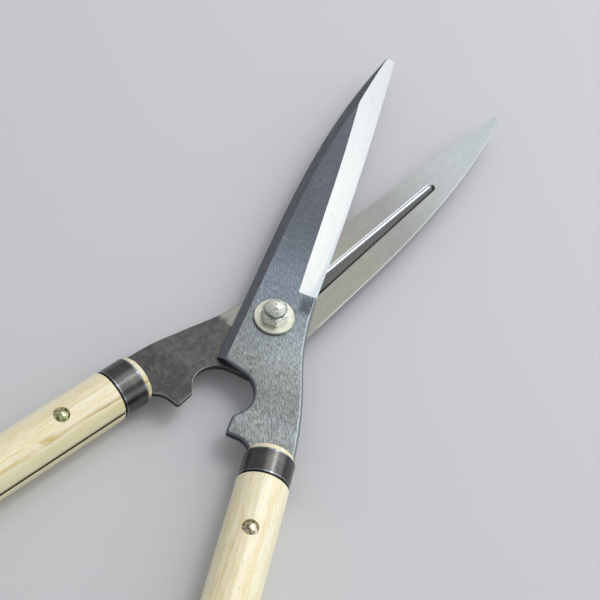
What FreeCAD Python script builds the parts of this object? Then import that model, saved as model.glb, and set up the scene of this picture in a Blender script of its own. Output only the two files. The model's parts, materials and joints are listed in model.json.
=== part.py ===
import FreeCAD, Part
import os
import re
import Sketcher

# Hedge shears: two forged blades with tangs, each driven into a round oak handle
# behind a steel ferrule and held by a rivet, and joined by a bolt with a domed nut.
# Millimetres. Each half is drawn in its own frame: X runs from the pivot to the tip,
# Y towards the spine, Z out of the outer face. The blade's inner face is Z = 0; behind
# the crescent the neck is cranked and its inner face lies below that, so that the two
# stops meet edge to edge. The rear half is the same forging turned over about its
# own length.

FULL_TURN = 360
HALF_TURN = 180
QUARTER_TURN = 90
HEX_SIDES = 6
OVERRUN = 2              # how far a cutting or joining outline runs past a face
TANG_ROOTING = 4         # how far the tang's plate reaches into the blade
NECK_MARGIN = 2          # the neck's outer side is found this far round its line
BEVEL_OVERCUT = 1.3      # the bevel's cutter, as a share of the bevel
SAME = 1e-6              # two places closer than this are one

# Where the search for a smooth arc starts; the tangents then settle its place
SPINE_END_BULGE = -1.9
SPINE_MIDDLE_BULGE = -0.8
SWEEP_BULGE = 1.5
SWELL_BULGE = -1.5
WAIST_BULGE = 1.0
CRESCENT_ENTRY = 18      # degrees round the crescent
CRESCENT_LEAVE = 28
DOME_MIDDLE = 0.6        # share of the rivet head's radius
NUT_DOME_MIDDLE = 45     # degrees up the nut's dome

SIZES = {
    # How the pair stands
    "opening": 27.7,              # angle between the two blades at rest, degrees
    "blade_gap": 0.1,             # between the two inner faces
    "blade_thickness": 5.0,
    # Cutting part of the blade
    "blade_reach": 210.0,         # pivot to tip
    "heel_along": 21.0,           # pivot to the heel of the cutting edge
    "heel_offset": 19.2,          # heel's distance from the blade's axis
    "tip_edge_offset": 15.1,      # edge at the tip
    "tip_back_offset": 10.2,      # spine at the tip, on the same side of the axis
    "edge_sagitta": 2.0,          # bulge of the cutting edge
    "tip_round": 2.6,
    # Spine
    "spine_straight_along": 60.0,
    "spine_straight_offset": 17.0,
    "spine_bend_along": 130.0,
    "spine_bend_offset": 9.5,
    "spine_land": 1.9,            # thickness left at the spine below its chamfer
    "spine_chamfer_width": 5.1,
    # Ground bevel
    "bevel_start": 0.8,           # from the heel corner to the bevel's end
    "bevel_heel_width": 10.8,
    "bevel_third_width": 12.7,
    "bevel_two_thirds_width": 13.4,
    "bevel_tip_width": 16.2,
    "bevel_root": 0.35,           # height of the bevel's plane above the edge
    "micro_bevel_width": 2.2,
    "edge_land": 0.1,
    # Hollow in the inner face
    "hollow_start_along": 27.0,
    "hollow_start_offset": -0.1,
    "hollow_start_radius": 4.75,
    "hollow_end_along": 140.4,
    "hollow_end_offset": 4.3,
    "hollow_end_radius": 2.5,
    "hollow_depth": 1.3,
    "hollow_side_angle": 35.0,
    # Crescent, stop and neck
    "corner_along": 35.0,         # corner where the spine ends
    "corner_offset": 22.9,
    "crescent_along": 55.0,
    "crescent_offset": 10.5,
    "crescent_radius": 15.0,
    "stop_along": 80.6,
    "stop_angle": 2.65,           # the stop's face is radial, this far off the axis
    "stop_round": 1.8,
    "stop_root_round": 4.0,
    "stop_back_along": 81.2,
    "stop_back_offset": 3.0,
    "neck_bend_along": 32.0,
    "neck_bend_offset": 27.6,
    "neck_top_along": 2.0,
    "neck_top_offset": 20.85,
    "neck_chamfer": 1.6,          # along the neck's outer side
    "edge_break": 1.0,            # round the crescent and the stop, on the outer face
    # The crank: the neck steps towards the other half between these two places
    "crank_depth": 2.0,
    "crank_front_along": 45.0,
    "crank_back_along": 64.0,
    # Where the handle meets the blade
    "shoulder_along": 84.3,
    "handle_offset": 24.75,
    "neck_half_outside": 13.5,
    "neck_half_inside": 13.9,
    "front_splay": 3.4,           # handle axis to blade axis, degrees
    "rear_splay": 5.5,
    # Tang
    "tang_length": 105.0,
    "tang_root_width": 17.0,
    "tang_end_width": 9.0,
    "tang_thickness": 4.4,
    "tang_clearance": 0.15,
    "tang_end_room": 1.0,         # left in the mortise beyond the tang's end
    # Handle
    "handle_length": 400.0,
    "nose_radius": 13.3,
    "nose_break": 0.8,
    "handle_front_radius": 15.4,
    "handle_front_break": 1.0,
    "grip_radius": 16.5,
    "taper_length": 180.0,        # from the ferrule back to the parallel part
    "butt_chamfer": 4.0,
    "slit_width": 2.2,
    "slit_depth": 5.5,
    "slit_drop": 2.9,             # below the handle's axis
    "slit_length": 170.0,
    # Ferrule
    "ferrule_set_back": 3.5,      # wood showing in front of it
    "ferrule_length": 16.6,
    "ferrule_radius": 14.85,
    "ferrule_edge_round": 0.5,
    "ferrule_clearance": 0.03,
    # Handle rivet
    "rivet_along": 55.5,          # behind the handle's nose
    "rivet_shank_radius": 2.5,
    "rivet_head_radius": 4.8,
    "rivet_head_height": 2.1,
    "rivet_tail_height": 1.6,
    "rivet_tail_break": 0.6,
    "rivet_seat": 14.3,           # spot face's distance from the handle's axis
    "rivet_clearance": 0.1,
    # Pivot
    "bolt_radius": 4.0,
    "bolt_clearance": 0.05,
    "bolt_tip_break": 0.8,
    "bolt_tip_gap": 1.5,          # from the bolt's end to the bottom of the nut's bore
    "bolt_turn": 15.0,            # rotation of the bolt's head, degrees
    "bolt_head_height": 5.3,
    "across_flats": 14.0,
    "washer_radius": 12.0,
    "washer_bore_radius": 4.2,
    "washer_thickness": 2.0,
    "washer_break": 0.5,
    "nut_height": 12.9,
    "nut_hex_height": 6.5,
    "nut_dome_radius": 6.3,
    "nut_bore_depth": 9.5,
    "nut_thread_clearance": 0.02,
    "hex_corner_angle": 30.0,
    "hex_corner_inset": 0.1,      # the corner cone starts this far inside the flats
    "nut_turn": 7.7,              # rotation of the tightened nut, degrees
}

doc = FreeCAD.newDocument("HedgeShears")
sheet = doc.addObject("Spreadsheet::Sheet", "Dimensions")
for row, (name, number) in enumerate(SIZES.items(), start=1):
    sheet.set("A%d" % row, name)
    sheet.set("B%d" % row, str(number))
    sheet.setAlias("B%d" % row, name)
doc.recompute()


def size(name):
    """The number that the sheet holds under this name."""
    return float(sheet.get(name))


def bound(text):
    """The same formula with each size's name pointing at the sheet."""
    return re.sub(r"[a-z_]+", lambda word: "Dimensions." + word.group()
                  if word.group() in SIZES else word.group(), text)


class Drawing:
    """A sketch on one of a body's origin planes, its points pinned by formulas."""

    def __init__(self, body, name, plane, lift="0"):
        self.sketch = body.newObject("Sketcher::SketchObject", name)
        support = [item for item in body.Origin.OriginFeatures if item.Role == plane][0]
        self.sketch.AttachmentSupport = [(support, "")]
        self.sketch.MapMode = "FlatFace"
        if lift != "0":
            self.sketch.setExpression("AttachmentOffset.Base.z", bound(lift))

    def number(self, text):
        return float(self.sketch.evalExpression(bound(text)))

    def spot(self, point):
        return FreeCAD.Vector(self.number(point[0]), self.number(point[1]), 0)

    def tie(self, kind, text, *places):
        """One dimension, driven by a formula."""
        constraint = Sketcher.Constraint(kind, *places, self.number(text))
        index = self.sketch.addConstraint(constraint)
        self.sketch.setExpression("Constraints[%d]" % index, bound(text))

    def pin(self, place, point):
        self.tie("DistanceX", point[0], -1, 1, *place)
        self.tie("DistanceY", point[1], -1, 1, *place)

    def meet(self, place, other):
        self.sketch.addConstraint(Sketcher.Constraint("Coincident", *place, *other))

    def smooth(self, place, other):
        self.sketch.addConstraint(Sketcher.Constraint("Tangent", *place, *other))

    def line(self, start, end):
        segment = Part.LineSegment(self.spot(start), self.spot(end))
        index = self.sketch.addGeometry(segment, False)
        return (index, 1), (index, 2)

    def arc(self, start, middle, end):
        """An arc through three points; its ends come back in the order asked for."""
        first, via, last = self.spot(start), self.spot(middle), self.spot(end)
        circle = Part.Arc(first, via, last).toShape().Curve
        centre, radius = circle.Center, circle.Radius
        flat = Part.Circle(centre, FreeCAD.Vector(0, 0, 1), radius)
        forwards = (via - first).cross(last - via).z > 0
        begin, finish = (first, last) if forwards else (last, first)
        shape = Part.ArcOfCircle(flat, flat.parameter(begin), flat.parameter(finish))
        index = self.sketch.addGeometry(shape, False)
        return ((index, 1), (index, 2)) if forwards else ((index, 2), (index, 1))

    def circle(self, centre, radius):
        flat = Part.Circle(self.spot(centre), FreeCAD.Vector(0, 0, 1), self.number(radius))
        index = self.sketch.addGeometry(flat, False)
        self.pin((index, 3), centre)
        self.tie("Radius", radius, index)

    def polygon(self, points):
        """A closed loop of lines with every corner pinned."""
        sides = [self.line(points[k - 1], points[k]) for k in range(len(points))]
        for k, side in enumerate(sides):
            self.meet(sides[k - 1][1], side[0])
            self.pin(side[1], points[k])


def new_body(label):
    body = doc.addObject("PartDesign::Body", label)
    body.Label = label
    return body


def pad(body, name, drawing, length, reverse=False):
    feature = body.newObject("PartDesign::Pad", name)
    feature.Profile = drawing.sketch
    feature.Reversed = reverse
    feature.setExpression("Length", bound(length))
    doc.recompute()
    return feature


def pocket(body, name, drawing, length=None, reverse=False, taper=None):
    """Cut a drawing into the body, right through it when no length is given."""
    before = body.Shape.Volume
    feature = body.newObject("PartDesign::Pocket", name)
    feature.Profile = drawing.sketch
    feature.Reversed = reverse
    if length is None:
        feature.Type = "ThroughAll"
        feature.SideType = "Symmetric"
    else:
        feature.setExpression("Length", bound(length))
    if taper is not None:
        feature.setExpression("TaperAngle", bound(taper))
    doc.recompute()
    if not body.Shape.Volume < before:
        raise RuntimeError("%s of %s cuts nothing" % (name, body.Label))
    return feature


def turn(body, name, drawing, axis):
    feature = body.newObject("PartDesign::Revolution", name)
    feature.Profile = drawing.sketch
    feature.ReferenceAxis = (drawing.sketch, [axis])
    feature.Angle = FULL_TURN
    doc.recompute()
    return feature


def edges_where(shape, wanted):
    """Names of the edges whose middle point passes the test."""
    names = []
    for number, edge in enumerate(shape.Edges, start=1):
        middle = edge.valueAt((edge.FirstParameter + edge.LastParameter) / 2)
        if wanted(edge, middle):
            names.append("Edge%d" % number)
    return names


def upright_edge_near(shape, x, y):
    """The vertical edge that stands closest to a point of the plan."""
    def distance(item):
        middle = item[1].valueAt((item[1].FirstParameter + item[1].LastParameter) / 2)
        return (middle.x - x) ** 2 + (middle.y - y) ** 2
    upright = []
    for number, edge in enumerate(shape.Edges, start=1):
        box = edge.BoundBox
        if box.ZLength > SAME and box.XLength + box.YLength < SAME:
            upright.append((number, edge))
    return "Edge%d" % min(upright, key=distance)[0]


def round_corner(body, name, point, radius):
    feature = body.newObject("PartDesign::Fillet", name)
    base = body.Shape if feature.BaseFeature is None else feature.BaseFeature.Shape
    feature.Base = (feature.BaseFeature, [upright_edge_near(base, *point)])
    feature.setExpression("Radius", bound(radius))
    doc.recompute()
    return feature


# ---------------------------------------------------------------- the blades

def on_handle(splay, along, across):
    """Plan formulas of a point given along and across the handle's axis."""
    x = "-shoulder_along - (%s) * cos(%s) + (%s) * sin(%s)" % (along, splay, across, splay)
    y = "-handle_offset - (%s) * sin(%s) - (%s) * cos(%s)" % (along, splay, across, splay)
    return x, y


def edge_offset(along):
    """Formula of the cutting edge's distance from the blade's axis."""
    share = "((%s) - heel_along) / (blade_reach - heel_along)" % along
    straight = "heel_offset + (tip_edge_offset - heel_offset) * %s" % share
    return "%s + 4 * edge_sagitta * %s * (1 - %s)" % (straight, share, share)


# Where the crescent meets the stop, before that corner is rounded
CRESCENT_FOOT = ("-crescent_along - crescent_radius * cos(%d)" % CRESCENT_LEAVE,
                 "crescent_offset - crescent_radius * sin(%d)" % CRESCENT_LEAVE)
STOP = ("-stop_along", "stop_along * tan(stop_angle)")


def draw_blade_outline(body, splay):
    plan = Drawing(body, "Outline", "XY_Plane", "-crank_depth")
    heel = ("heel_along", "-heel_offset")
    tip_edge = ("blade_reach", "-tip_edge_offset")
    tip_back = ("blade_reach", "-tip_back_offset")
    middle = "(heel_along + blade_reach) / 2"
    spine_bend = ("spine_bend_along", "spine_bend_offset")
    spine_straight = ("spine_straight_along", "spine_straight_offset")
    corner = ("-corner_along", "corner_offset")
    stop_back = ("-stop_back_along", "-stop_back_offset")
    inside = on_handle(splay, "0", "-neck_half_inside")
    outside = on_handle(splay, "0", "neck_half_outside")
    neck_bend = ("-neck_bend_along", "-neck_bend_offset")
    neck_top = ("neck_top_along", "-neck_top_offset")

    def between(start, end, bulge):
        """A first guess for the middle of an arc: the chord's middle, moved across."""
        a, b = plan.spot(start), plan.spot(end)
        side = FreeCAD.Vector(a.y - b.y, b.x - a.x, 0).normalize()
        guess = (a + b) / 2 + side * bulge
        return str(guess.x), str(guess.y)

    # The cutting edge, the short end of the tip and the spine
    edge = plan.arc(heel, (middle, "-(%s)" % edge_offset(middle)), tip_edge)
    tip = plan.line(tip_edge, tip_back)
    spine_end = plan.arc(tip_back, between(tip_back, spine_bend, SPINE_END_BULGE), spine_bend)
    spine_rise = between(spine_bend, spine_straight, SPINE_MIDDLE_BULGE)
    spine_middle = plan.arc(spine_bend, spine_rise, spine_straight)
    spine = plan.line(spine_straight, corner)
    # The crescent: a line that runs smoothly into a circle, up to the radial stop
    entry = ("-crescent_along + crescent_radius * cos(%d)" % CRESCENT_ENTRY,
             "crescent_offset - crescent_radius * sin(%d)" % CRESCENT_ENTRY)
    crown = ("-crescent_along", "crescent_offset - crescent_radius")
    leave = CRESCENT_FOOT
    approach = plan.line(corner, entry)
    crescent = plan.arc(entry, crown, leave)
    stop_face = plan.line(leave, STOP)
    # The back of the stop, the shoulder against the wood and the neck's outer side
    back = plan.line(STOP, stop_back)
    sweep = plan.arc(stop_back, between(stop_back, inside, SWEEP_BULGE), inside)
    shoulder = plan.line(inside, outside)
    swell = plan.arc(outside, between(outside, neck_bend, SWELL_BULGE), neck_bend)
    waist = plan.arc(neck_bend, between(neck_bend, neck_top, WAIST_BULGE), neck_top)
    side = plan.line(neck_top, heel)

    path = [edge, tip, spine_end, spine_middle, spine, approach, crescent, stop_face,
            back, sweep, shoulder, swell, waist, side]
    smooth_ends = [spine_end, spine_middle, approach, back, swell, waist]
    for number, piece in enumerate(path):
        following = path[(number + 1) % len(path)]
        if piece in smooth_ends:
            plan.smooth(piece[1], following[0])
        else:
            plan.meet(piece[1], following[0])
    pinned = [(edge, tip_edge), (tip, tip_back), (spine_end, spine_bend),
              (spine_middle, spine_straight), (spine, corner), (stop_face, STOP),
              (back, stop_back), (sweep, inside), (shoulder, outside), (swell, neck_bend),
              (waist, neck_top), (side, heel)]
    for piece, point in pinned:
        plan.pin(piece[1], point)
    chord = "((blade_reach - heel_along)^2 + (heel_offset - tip_edge_offset)^2)"
    plan.tie("Radius", "(%s / 4 + edge_sagitta^2) / (2 * edge_sagitta)" % chord, edge[0][0])
    plan.pin((crescent[0][0], 3), ("-crescent_along", "crescent_offset"))
    plan.tie("Radius", "crescent_radius", crescent[0][0])
    plan.sketch.addConstraint(Sketcher.Constraint("PointOnObject", -1, 1, stop_face[0][0]))
    return plan


def outer_level(along):
    """Height of the outer face, which drops along the crank."""
    front, back = size("crank_front_along"), size("crank_back_along")
    share = min(max((-along - front) / (back - front), 0), 1)
    return size("blade_thickness") - size("crank_depth") * share


def crank_neck(body):
    """Cut the thick plate down to a blade that steps towards the middle at its neck."""
    step = [("-crank_back_along", "-crank_depth"), ("-crank_front_along", "0")]
    far_tip, below = "blade_reach + %d" % OVERRUN, "-crank_depth - %d" % OVERRUN
    under = Drawing(body, "UnderBlade", "XZ_Plane")
    under.polygon(step + [(far_tip, "0"), (far_tip, below), ("-crank_back_along", below)])
    pocket(body, "CutUnderBlade", under)
    raised = [(along, "%s + blade_thickness" % level) for along, level in reversed(step)]
    far_neck, above = "-shoulder_along - neck_half_outside", "blade_thickness + %d" % OVERRUN
    over = Drawing(body, "OverNeck", "XZ_Plane")
    over.polygon(raised + [(far_neck, "blade_thickness - crank_depth"), (far_neck, above),
                           ("-crank_front_along", above)])
    pocket(body, "CutOverNeck", over)


def chamfer_outer(body, name, breadth, wanted, across=None):
    """Chamfer the outer face's edges that pass the test, by breadth down the wall
    and as far, or by another width, across the face."""
    def on_outer_face(edge, middle):
        spots = [vertex.Point for vertex in edge.Vertexes] + [middle]
        level = all(abs(spot.z - outer_level(spot.x)) < SAME for spot in spots)
        return level and edge.BoundBox.XLength > SAME and wanted(middle)
    names = edges_where(body.Shape, on_outer_face)
    feature = body.newObject("PartDesign::Chamfer", name)
    feature.Base = (feature.BaseFeature, names)
    feature.setExpression("Size", bound(breadth))
    if across is not None:
        feature.ChamferType = "Two distances"
        feature.setExpression("Size2", bound(across))
    doc.recompute()
    return feature


def on_spine(spot):
    """Whether a place on the outline belongs to the spine, from corner to tip."""
    return spot.x > -size("corner_along") and spot.y > -size("tip_back_offset")


def on_neck(spot):
    """Whether it belongs to the neck's outer side, between handle and heel."""
    outer = spot.y < NECK_MARGIN - size("neck_top_offset")
    back, front = NECK_MARGIN - size("shoulder_along"), size("heel_along") - NECK_MARGIN
    return outer and back < spot.x < front


def on_crescent(spot):
    """Whether it belongs to the crescent, the stop or the stop's back."""
    return spot.x < -size("corner_along") and spot.y > NECK_MARGIN - size("neck_top_offset")


def grind_bevel(body):
    """The bevel and its narrow honed edge, cut by one loft that follows the edge."""
    stations = [("heel_along + bevel_start", "bevel_heel_width"),
                ("heel_along + (blade_reach - heel_along) / 3", "bevel_third_width"),
                ("heel_along + (blade_reach - heel_along) * 2 / 3", "bevel_two_thirds_width"),
                ("blade_reach + %d" % OVERRUN, "bevel_tip_width")]
    sections = []
    for number, (along, width) in enumerate(stations):
        section = Drawing(body, "BevelSection%d" % number, "YZ_Plane", along)
        edge = "-(%s)" % edge_offset(along)
        rise = "(blade_thickness - bevel_root) / %s" % width
        crest = "bevel_root + %s * (blade_thickness - bevel_root)" % BEVEL_OVERCUT
        honed = "bevel_root + micro_bevel_width * %s" % rise
        section.polygon([
            ("%s + %s * %s" % (edge, BEVEL_OVERCUT, width), crest),
            ("%s + micro_bevel_width" % edge, honed),
            ("%s - micro_bevel_width" % edge, "2 * edge_land - (%s)" % honed),
            ("%s - micro_bevel_width" % edge, crest)])
        sections.append(section.sketch)
    doc.recompute()
    feature = body.newObject("PartDesign::SubtractiveLoft", "Bevel")
    feature.Profile = sections[0]
    feature.Sections = sections[1:]
    doc.recompute()
    return feature


def cut_hollow(body):
    """The tapering hollow ground into the inner face, round at both ends."""
    plan = Drawing(body, "HollowOutline", "XY_Plane")
    wide = ("hollow_start_along", "hollow_start_offset")
    narrow = ("hollow_end_along", "-hollow_end_offset")

    def beside(centre, radius, turn_x, turn_y):
        return ("%s + %s * (%s)" % (centre[0], radius, turn_x),
                "%s + %s * (%s)" % (centre[1], radius, turn_y))
    wide_radius, narrow_radius = "hollow_start_radius", "hollow_end_radius"
    start = plan.arc(beside(wide, wide_radius, "0", "1"), beside(wide, wide_radius, "-1", "0"),
                     beside(wide, wide_radius, "0", "-1"))
    low = plan.line(beside(wide, wide_radius, "0", "-1"), beside(narrow, narrow_radius, "0", "-1"))
    end = plan.arc(beside(narrow, narrow_radius, "0", "-1"), beside(narrow, narrow_radius, "1", "0"),
                   beside(narrow, narrow_radius, "0", "1"))
    high = plan.line(beside(narrow, narrow_radius, "0", "1"), beside(wide, wide_radius, "0", "1"))
    loop = [start, low, end, high]
    for number, piece in enumerate(loop):
        plan.smooth(piece[1], loop[(number + 1) % len(loop)][0])
    for piece, centre, radius in ((start, wide, wide_radius), (end, narrow, narrow_radius)):
        plan.pin((piece[0][0], 3), centre)
        plan.tie("Radius", radius, piece[0][0])
    return pocket(body, "Hollow", plan, "hollow_depth", reverse=True, taper="-hollow_side_angle")


def forge_blade(label, splay):
    body = new_body(label)
    pad(body, "Plate", draw_blade_outline(body, splay), "blade_thickness + crank_depth")
    chamfer_outer(body, "SpineChamfer", "blade_thickness - spine_land", on_spine,
                  across="spine_chamfer_width")
    crank_neck(body)
    tip = ("blade_reach", "-tip_back_offset")
    for name, corner, radius in (("StopRound", STOP, "stop_round"),
                                 ("StopRootRound", CRESCENT_FOOT, "stop_root_round"),
                                 ("TipRound", tip, "tip_round")):
        place = [float(sheet.evalExpression(value)) for value in corner]
        round_corner(body, name, place, radius)
    chamfer_outer(body, "NeckChamfer", "neck_chamfer", on_neck)
    chamfer_outer(body, "CrescentBreak", "edge_break", on_crescent)
    grind_bevel(body)
    cut_hollow(body)

    tang = Drawing(body, "TangOutline", "XY_Plane", "-crank_depth")
    root = "-%d" % TANG_ROOTING
    tang.polygon([on_handle(splay, root, "tang_root_width / 2"),
                  on_handle(splay, "tang_length", "tang_end_width / 2"),
                  on_handle(splay, "tang_length", "-tang_end_width / 2"),
                  on_handle(splay, root, "-tang_root_width / 2")])
    pad(body, "Tang", tang, "tang_thickness")

    holes = Drawing(body, "Holes", "XY_Plane")
    holes.circle(("0", "0"), "bolt_radius + bolt_clearance")
    holes.circle(on_handle(splay, "rivet_along", "0"), "rivet_shank_radius + rivet_clearance")
    pocket(body, "DrilledHoles", holes)
    return body


# ---------------------------------------------------------------- the handles
# A handle's own frame: X from its nose to its butt along its axis, Z out of the
# blade's outer face, the other handle on its -Y side.

def turn_handle(label):
    body = new_body(label)
    half = Drawing(body, "Profile", "XZ_Plane")
    front = "ferrule_set_back + ferrule_length"
    straight = "%s + taper_length" % front
    nose_face = ("0", "nose_radius - nose_break")
    nose_top = ("nose_break", "nose_radius")
    seat = (front, "nose_radius")
    step = (front, "handle_front_radius - handle_front_break")
    lip = ("%s + handle_front_break" % front, "handle_front_radius")
    grip = (straight, "grip_radius")
    butt_top = ("handle_length - butt_chamfer", "grip_radius")
    butt_face = ("handle_length", "grip_radius - butt_chamfer")
    half.polygon([("0", "0"), nose_face, nose_top, seat, step, lip, grip,
                  butt_top, butt_face, ("handle_length", "0")])
    turn(body, "Turned", half, "H_Axis")

    # Spot faces for the two rivet heads, and the hole between them
    for name, side in (("UpperSeat", 1), ("LowerSeat", -1)):
        lift = "rivet_seat" if side > 0 else "-rivet_seat"
        seat_plan = Drawing(body, name + "Outline", "XY_Plane", lift)
        seat_plan.circle(("rivet_along", "0"), "rivet_head_radius + rivet_clearance")
        pocket(body, name, seat_plan, "grip_radius", reverse=side > 0)
    hole = Drawing(body, "RivetHoleOutline", "XY_Plane")
    hole.circle(("rivet_along", "0"), "rivet_shank_radius + rivet_clearance")
    pocket(body, "RivetHole", hole)

    # The tapering mortise that holds the tang
    floor_level = "blade_gap / 2 - crank_depth - tang_clearance"
    mortise = Drawing(body, "MortiseOutline", "XY_Plane", floor_level)
    root = "tang_root_width / 2 + tang_clearance"
    end = "tang_end_width / 2 + tang_clearance"
    mouth, depth = "-%d" % OVERRUN, "tang_length + tang_end_room"
    mortise.polygon([(mouth, root), (mouth, "-(%s)" % root),
                     (depth, "-(%s)" % end), (depth, end)])
    pocket(body, "Mortise", mortise, "tang_thickness + 2 * tang_clearance", reverse=True)

    # The saw slit along the inner side
    slit = Drawing(body, "SlitOutline", "XY_Plane", "-slit_drop - slit_width / 2")
    mouth_side, floor = "-grip_radius - %d" % OVERRUN, "slit_depth - handle_front_radius"
    slit.polygon([(mouth, mouth_side), ("slit_length", mouth_side),
                  ("slit_length", floor), (mouth, floor)])
    pocket(body, "Slit", slit, "slit_width", reverse=True)
    return body


def roll_ferrule(label):
    """The steel ring on the handle's nose, in the handle's frame."""
    body = new_body(label)
    ring = Drawing(body, "Section", "XZ_Plane")
    start, end = "ferrule_set_back", "ferrule_set_back + ferrule_length"
    bore = "nose_radius + ferrule_clearance"
    low = "ferrule_radius - ferrule_edge_round"
    ring.polygon([(start, bore), (start, low),
                  ("%s + ferrule_edge_round" % start, "ferrule_radius"),
                  ("%s - ferrule_edge_round" % end, "ferrule_radius"),
                  (end, low), (end, bore)])
    turn(body, "Ring", ring, "H_Axis")
    return body


def set_rivet(label):
    """A solid rivet along its own Z: a domed head above, a flat set tail below."""
    body = new_body(label)
    half = Drawing(body, "Profile", "XZ_Plane")
    crown = ("0", "rivet_seat + rivet_head_height")
    slope = ("rivet_head_radius * %s" % DOME_MIDDLE,
             "rivet_seat + rivet_head_height * (1 - %s^2)" % DOME_MIDDLE)
    under_head = ("rivet_head_radius", "rivet_seat")
    tail_foot = "-rivet_seat - rivet_tail_height"
    corners = [("rivet_shank_radius", "rivet_seat"), ("rivet_shank_radius", "-rivet_seat"),
               ("rivet_head_radius", "-rivet_seat"),
               ("rivet_head_radius", "%s + rivet_tail_break" % tail_foot),
               ("rivet_head_radius - rivet_tail_break", tail_foot), ("0", tail_foot), crown]
    path = [half.line(start, end) for start, end in zip([under_head] + corners, corners)]
    path.append(half.arc(crown, slope, under_head))
    corners.append(under_head)
    for number, piece in enumerate(path):
        half.meet(piece[1], path[(number + 1) % len(path)][0])
        half.pin(piece[1], corners[number])
    half.sketch.addConstraint(Sketcher.Constraint("PointOnObject", path[-1][0][0], 3, -2))
    turn(body, "Turned", half, "V_Axis")
    return body


# ---------------------------------------------------------------- the pivot
# Its pieces stand on the pivot's axis, with Z = 0 midway between the blades.

STACK_FACE = "blade_gap / 2 + blade_thickness + washer_thickness"


def hexagon(drawing, start):
    """Six flats, with the first corner at the angle that the formula gives."""
    corner = "across_flats / 2 / cos(%d)" % (HALF_TURN / HEX_SIDES)
    points = []
    for number in range(HEX_SIDES):
        angle = "%s + %d" % (start, number * FULL_TURN / HEX_SIDES)
        points.append(("%s * cos(%s)" % (corner, angle), "%s * sin(%s)" % (corner, angle)))
    drawing.polygon(points)


def break_corners(body, name, level, upward):
    """Turn off a hexagon's corners in a cone, as on a stamped nut or bolt head."""
    ring = Drawing(body, name + "Section", "XZ_Plane")
    inner, outer = "across_flats / 2 - hex_corner_inset", "across_flats"
    drop = "(%s - (%s)) * tan(hex_corner_angle)" % (outer, inner)
    far = "%s - (%s)" % (level, drop) if upward else "%s + (%s)" % (level, drop)
    past = "%s %s %d" % (level, "+" if upward else "-", OVERRUN)
    ring.polygon([(inner, level), (outer, far), (outer, past), (inner, past)])
    feature = body.newObject("PartDesign::Groove", name)
    feature.Profile = ring.sketch
    feature.ReferenceAxis = (ring.sketch, ["V_Axis"])
    feature.Angle = FULL_TURN
    doc.recompute()
    return feature


def make_bolt():
    body = new_body("pivot_bolt")
    head = Drawing(body, "HeadOutline", "XY_Plane", "-(%s)" % STACK_FACE)
    hexagon(head, "bolt_turn")
    pad(body, "Head", head, "bolt_head_height", reverse=True)
    break_corners(body, "HeadCorners", "-(%s) - bolt_head_height" % STACK_FACE, upward=False)
    shank = Drawing(body, "ShankProfile", "XZ_Plane")
    end = "%s + nut_bore_depth - bolt_tip_gap" % STACK_FACE
    base = "-(%s) - %d" % (STACK_FACE, OVERRUN)
    shank.polygon([("0", base), ("bolt_radius", base), ("bolt_radius", "%s - bolt_tip_break" % end),
                   ("bolt_radius - bolt_tip_break", end), ("0", end)])
    turn(body, "Shank", shank, "V_Axis")
    return body


def make_washer(label, inner_face):
    body = new_body(label)
    ring = Drawing(body, "Section", "XZ_Plane")
    low, high = inner_face, "%s + washer_thickness" % inner_face
    ring.polygon([("washer_bore_radius", low), ("washer_radius - washer_break", low),
                  ("washer_radius", "%s + washer_break" % low),
                  ("washer_radius", "%s - washer_break" % high),
                  ("washer_radius - washer_break", high), ("washer_bore_radius", high)])
    turn(body, "Ring", ring, "V_Axis")
    return body


def make_cap_nut():
    body = new_body("cap_nut")
    plan = Drawing(body, "HexOutline", "XY_Plane", STACK_FACE)
    hexagon(plan, "nut_turn")
    pad(body, "Hexagon", plan, "nut_hex_height")
    break_corners(body, "TopCorners", "%s + nut_hex_height" % STACK_FACE, upward=True)
    break_corners(body, "FootCorners", STACK_FACE, upward=False)
    dome = Drawing(body, "DomeProfile", "XZ_Plane")
    base = "%s + nut_hex_height - %d" % (STACK_FACE, OVERRUN)
    crown = "%s + nut_height" % STACK_FACE
    spring = "%s - nut_dome_radius" % crown
    curve_middle = ("nut_dome_radius * cos(%d)" % NUT_DOME_MIDDLE,
                    "%s + nut_dome_radius * sin(%d)" % (spring, NUT_DOME_MIDDLE))
    axis_foot, rim_foot = ("0", base), ("nut_dome_radius", base)
    rim, top = ("nut_dome_radius", spring), ("0", crown)
    path = [dome.line(axis_foot, rim_foot), dome.line(rim_foot, rim),
            dome.arc(rim, curve_middle, top), dome.line(top, axis_foot)]
    corners = [rim_foot, rim, top, axis_foot]
    for number, piece in enumerate(path):
        dome.meet(piece[1], path[(number + 1) % len(path)][0])
        dome.pin(piece[1], corners[number])
    dome.tie("Radius", "nut_dome_radius", path[2][0][0])
    turn(body, "Dome", dome, "V_Axis")
    bore = Drawing(body, "BoreOutline", "XY_Plane", STACK_FACE)
    bore.circle(("0", "0"), "bolt_radius + nut_thread_clearance")
    pocket(body, "Bore", bore, "nut_bore_depth", reverse=True)
    return body


# ---------------------------------------------------------------- assembly

UP = FreeCAD.Vector(0, 0, 1)
ALONG = FreeCAD.Vector(1, 0, 0)


def half_frame(side):
    """Where one half's frame stands: the halves lean apart evenly from +Y."""
    lean = size("opening") / 2
    lift = size("blade_gap") / 2
    if side == "front":
        return FreeCAD.Placement(UP * lift, FreeCAD.Rotation(UP, QUARTER_TURN + lean))
    heading = FreeCAD.Rotation(UP, QUARTER_TURN - lean)
    flip = heading.multiply(FreeCAD.Rotation(ALONG, HALF_TURN))
    return FreeCAD.Placement(UP * -lift, flip)


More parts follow.
